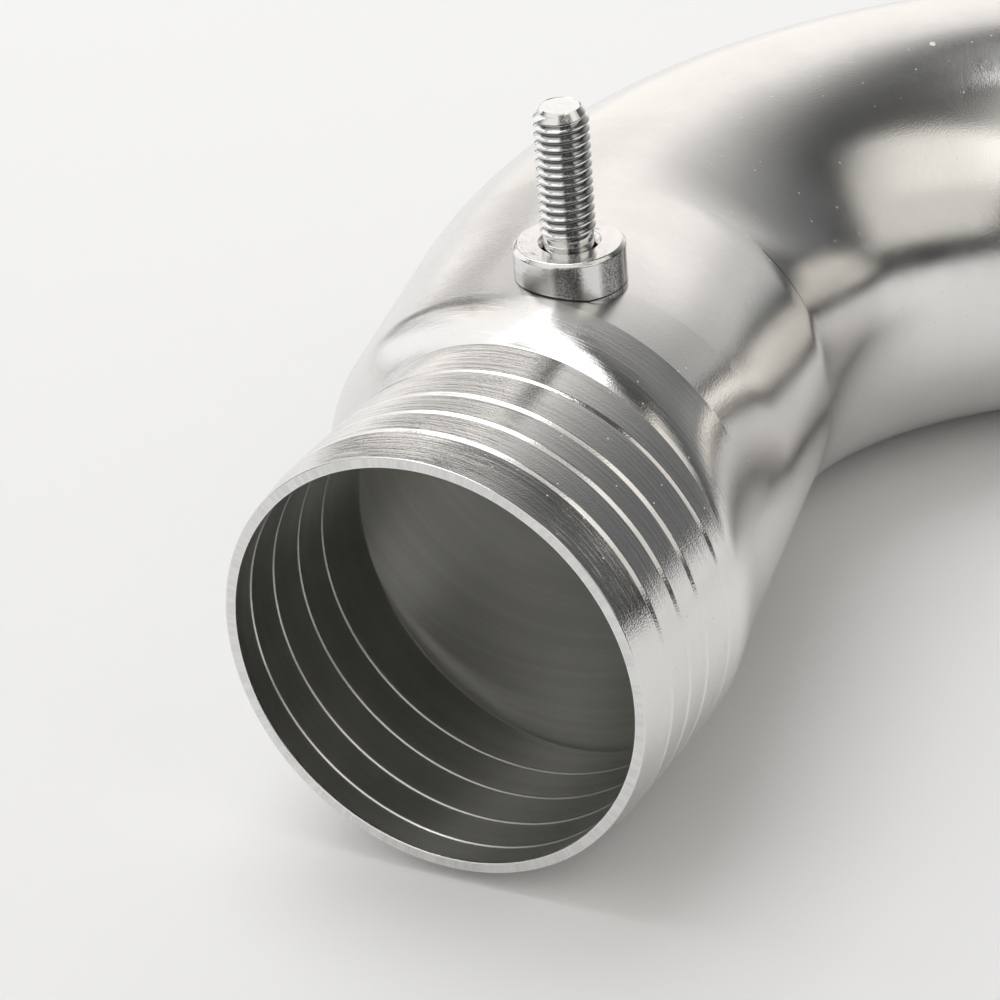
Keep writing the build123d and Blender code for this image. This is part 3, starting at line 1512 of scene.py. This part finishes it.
@dataclass(frozen=True)
class Panel:
    """A soft panel light, aimed at the pipe: azimuth 0 is +Y and 90 is +X."""

    name: str
    azimuth: float
    elevation: float
    distance: float
    width: float
    height: float
    radiance: float
    color: Color = (1.0, 1.0, 1.0)
    shape: Shape = Shape.SQUARE
    aim_height: float = 0.03

    def build(self) -> None:
        """Hangs the panel."""
        a, e = math.radians(self.azimuth), math.radians(self.elevation)
        away = Vector((math.sin(a) * math.cos(e), math.cos(a) * math.cos(e), math.sin(e)))
        lamp = bpy.data.lights.new(self.name, "AREA")
        lamp.shape = self.shape.value
        lamp.size, lamp.size_y = self.width, self.height
        area = self.width * self.height * (math.pi / 4 if self.shape is Shape.ROUND else 1)
        lamp.energy = self.radiance * math.pi * area
        lamp.color = self.color
        holder = bpy.data.objects.new(self.name, lamp)
        holder.location = away * self.distance + UP * self.aim_height
        holder.rotation_mode = "QUATERNION"
        holder.rotation_quaternion = away.to_track_quat("Z", "Y")
        holder.visible_camera = False
        bpy.context.scene.collection.objects.link(holder)


def stage_sheet(name: str, placing: Matrix, material: bpy.types.Material) -> bpy.types.Object:
    """Makes a flat sheet of the stage.

    Args:
        name: The sheet's name.
        placing: Where a flat square with sides of a metre goes.
        material: Its material.

    Returns:
        The sheet.
    """
    bm = bmesh.new()
    bmesh.ops.create_grid(bm, x_segments=1, y_segments=1, size=0.5, matrix=placing)
    mesh = bpy.data.meshes.new(name)
    bm.to_mesh(mesh)
    bm.free()
    mesh.materials.append(material)
    sheet = bpy.data.objects.new(name, mesh)
    bpy.context.scene.collection.objects.link(sheet)
    return sheet


def upright(width: float, height: float, middle: float, distance: float) -> Matrix:
    """Places a flat square upright on the floor.

    Args:
        width: Its new width.
        height: Its new height.
        middle: How far to the side its middle stands.
        distance: How far ahead it stands.

    Returns:
        The placing.
    """
    turn = Matrix.Rotation(math.radians(90), 4, "X") @ Matrix.Diagonal((width, height, 1, 1))
    return Matrix.Translation((middle, distance, height / 2)) @ turn


@dataclass(frozen=True)
class BackWall:
    """Lit paper behind the pipe, with a slanting shadow on the left and shade on the right."""

    place: float = 0.9
    left: float = -1.0
    right: float = 1.5
    top: float = 2.2
    shadow_slope: float = 1.44
    shadow_starts: Span = (1.03, 1.14)
    shadow_ends: Span = (1.3, 1.43)
    right_fade: Span = (-0.2, 1.5)
    foot_fade: Span = (0.1, 0.55)
    foot_reach: float = 0.22
    top_fade: Span = (0.7, 1.4)
    top_glow: float = 0.42
    tints: tuple[tuple[float, Color], ...] = (
        (0.0, (1.15, 1.11, 1.07)),
        (0.05, (1.04, 1.01, 0.98)),
        (0.118, (0.81, 0.79, 0.77)),
        (0.212, (0.575, 0.57, 0.555)),
        (0.376, (0.32, 0.32, 0.315)),
        (0.594, (0.172, 0.176, 0.175)),
        (1.0, (0.09, 0.096, 0.1)),
    )

    def build(self) -> None:
        """Stands the paper up and lights it."""
        middle = (self.left + self.right) / 2
        placing = upright(self.right - self.left, self.top, middle, self.place)
        wall = stage_sheet("back_wall", placing, self._paper())
        wall.visible_camera = False
        wall.visible_shadow = False

    def _paper(self) -> bpy.types.Material:
        """Makes the lit paper.

        Returns:
            A material that glows less from the left to the right.
        """
        material, sheet, shader = new_material("lit_paper")
        shader.inputs["Base Color"].default_value = (0, 0, 0, 1)
        shader.inputs["Specular IOR Level"].default_value = 0.0
        across, _, height = sheet.split(sheet.add("ShaderNodeTexCoord").outputs["Object"])
        rising = sheet.math("SUBTRACT", height, sheet.product(across, self.shadow_slope))
        shadow = sheet.product(
            sheet.ramp(rising, self.shadow_starts, 0.0, 1.0),
            sheet.ramp(rising, self.shadow_ends, 1.0, 0.0),
        )
        spread = sheet.math("SUBTRACT", across, sheet.ramp(height, self.foot_fade, self.foot_reach, 0.0))
        dark = sheet.math("MAXIMUM", shadow, sheet.ramp(spread, self.right_fade, 0.0, 1.0, even=True))
        tint = sheet.add("ShaderNodeValToRGB")
        stops = tint.color_ramp.elements
        for stop, (_, color) in zip(stops, (self.tints[0], self.tints[-1])):
            stop.color = (*color, 1)
        for place, color in self.tints[1:-1]:
            stops.new(place).color = (*color, 1)
        sheet.feed(tint.inputs["Fac"], dark)
        sheet.feed(shader.inputs["Emission Color"], tint.outputs["Color"])
        glow = sheet.ramp(height, self.top_fade, 1.0, self.top_glow)
        sheet.feed(shader.inputs["Emission Strength"], glow)
        return material


@dataclass(frozen=True)
class DarkCard:
    """Black card, hidden from the camera, that stands on the floor and keeps light off the pipe's side: a
    sheet of painted shade that the pipe mirrors low on its side in place of a dark room.
    """

    azimuth: float = 97.0
    distance: float = 0.5
    width: float = 0.75
    height: float = 0.095
    color: Color = (0.03, 0.03, 0.03)
    roughness: float = 0.9

    def build(self) -> None:
        """Stands the card up, facing the pipe."""
        material, _, shader = new_material("black_paper")
        shader.inputs["Base Color"].default_value = (*self.color, 1)
        shader.inputs["Roughness"].default_value = self.roughness
        turn = Matrix.Rotation(math.radians(-self.azimuth), 4, "Z")
        placing = turn @ upright(self.width, self.height, 0.0, self.distance)
        stage_sheet("dark_card", placing, material).visible_camera = False


@dataclass
class Studio:
    """Pale floor, soft panels and the camera."""

    layout: PipeLayout
    floor_color: Color = (0.875, 0.877, 0.885)
    floor_size: float = 8.0
    floor_roughness: float = 0.7
    floor_shine: float = 0.2
    room_color: Color = (1.0, 0.98, 0.94)
    ambient: float = 0.075
    fill: float = 0.95
    fill_from: Point = (-0.25, -0.65, 0.72)
    fill_spread: Span = (0.45, 0.9)
    camera_place: Point = (115.403, -358.209, 220.807)
    camera_right: Point = (0.961707, 0.265427, -0.068325)
    camera_down: Point = (0.071586, -0.483892, -0.872195)
    lens: float = 152.117
    sensor: float = 36.0
    panels: tuple[Panel, ...] = (
        Panel("key_top", -60, 75, 1.15, 0.82, 0.82, 2.35, (0.985, 0.997, 1.02), Shape.ROUND),
        Panel("side_left", -68, 26, 1.2, 0.73, 1.15, 1.05),
        Panel("top_left", -50, 54, 1.15, 0.56, 0.3, 1.7),
        Panel("top_right", 32, 78, 1.15, 0.2, 0.2, 1.3),
        Panel("window_right", 99.5, 33.5, 0.9, 0.92, 0.82, 0.66, (1.0, 0.97, 0.91)),
        Panel("window_upper", 110, 47, 0.88, 0.74, 0.45, 0.24, (1.0, 0.97, 0.91)),
    )

    def build(self) -> None:
        """Lays the floor, hangs the panels and sets the camera."""
        self._floor()
        self._world()
        BackWall().build()
        DarkCard().build()
        for panel in self.panels:
            panel.build()
        self._camera()

    def _floor(self) -> None:
        """Lays a wide plain floor under the pipe."""
        material, _, shader = new_material("pale_floor")
        shader.inputs["Base Color"].default_value = (*self.floor_color, 1)
        shader.inputs["Roughness"].default_value = self.floor_roughness
        shader.inputs["Specular IOR Level"].default_value = self.floor_shine
        stage_sheet("floor", Matrix.Diagonal((self.floor_size, self.floor_size, 1, 1)), material)

    def _world(self) -> None:
        """Sets the dim room around the panels, brighter towards the fill."""
        world = bpy.data.worlds.new("room")
        world.use_nodes = True
        sheet = NodeSheet(world.node_tree)
        toward = sheet.add("ShaderNodeTexCoord").outputs["Generated"]
        facing = sheet.vector("DOT_PRODUCT", toward, Vector(self.fill_from).normalized())
        background = world.node_tree.nodes["Background"]
        background.inputs["Color"].default_value = (*self.room_color, 1)
        glow = sheet.ramp(facing, self.fill_spread, self.ambient, self.fill)
        sheet.feed(background.inputs["Strength"], glow)
        bpy.context.scene.world = world
        bpy.context.scene.view_settings.view_transform = "Standard"

    def _camera(self) -> None:
        """Sets the camera from its place beside the corner of the pipe's axes."""
        lens = bpy.data.cameras.new("camera")
        lens.lens = self.lens
        lens.sensor_width = self.sensor
        camera = bpy.data.objects.new("camera", lens)
        right, down = Vector(self.camera_right), Vector(self.camera_down)
        turn = Matrix((right, -down, down.cross(right))).transposed().to_4x4()
        place = (self.layout.corner + Vector(self.camera_place)) * MM
        camera.matrix_world = Matrix.Translation(place) @ turn
        bpy.context.scene.collection.objects.link(camera)
        bpy.context.scene.camera = camera


def main() -> None:
    """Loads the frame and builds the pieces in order."""
    logging.basicConfig(level=logging.INFO, format="%(message)s")
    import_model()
    layout = PipeLayout.from_frame()
    effects = (WorkedGrain().build(), HandlingMarks().build())
    wall = [
        TubeFinish("polished_aluminium", (0.81, 0.8, 0.785), 0.14).build(*effects),
        BoreFinish("bore_aluminium", (0.84, 0.84, 0.81), 0.3).build(*effects),
        CutFinish("sawn_aluminium", (0.8, 0.8, 0.79), 0.28).build(*effects),
    ]
    # Both turned metals carry painted dark reflection stripes at the angles listed
    turned = TurnedFinish(
        "turned_aluminium",
        (0.84, 0.83, 0.82),
        0.1,
        grain=1.0,
        dents=1.5,
        painted_reflection_bands=((-78.0, 19.0), (-25.0, 24.0)),
        painted_bands_from=5.97,
    )
    zinc = TurnedFinish(
        "zinc_thread", (0.86, 0.86, 0.85), 0.12, root_r=2.42, painted_reflection_bands=((-64.0, 20.0),), painted_bands_from=2.3
    )
    InletNeck(layout).build(wall)
    BendTube(layout).build(wall)
    boss = StudBoss(layout)
    axis = boss.foot * MM
    boss.build(turned.build(*effects, axis))
    ThreadedStud(boss).build(zinc.build(*effects, axis))
    Studio(layout).build()


if __name__ == "__main__":
    main()
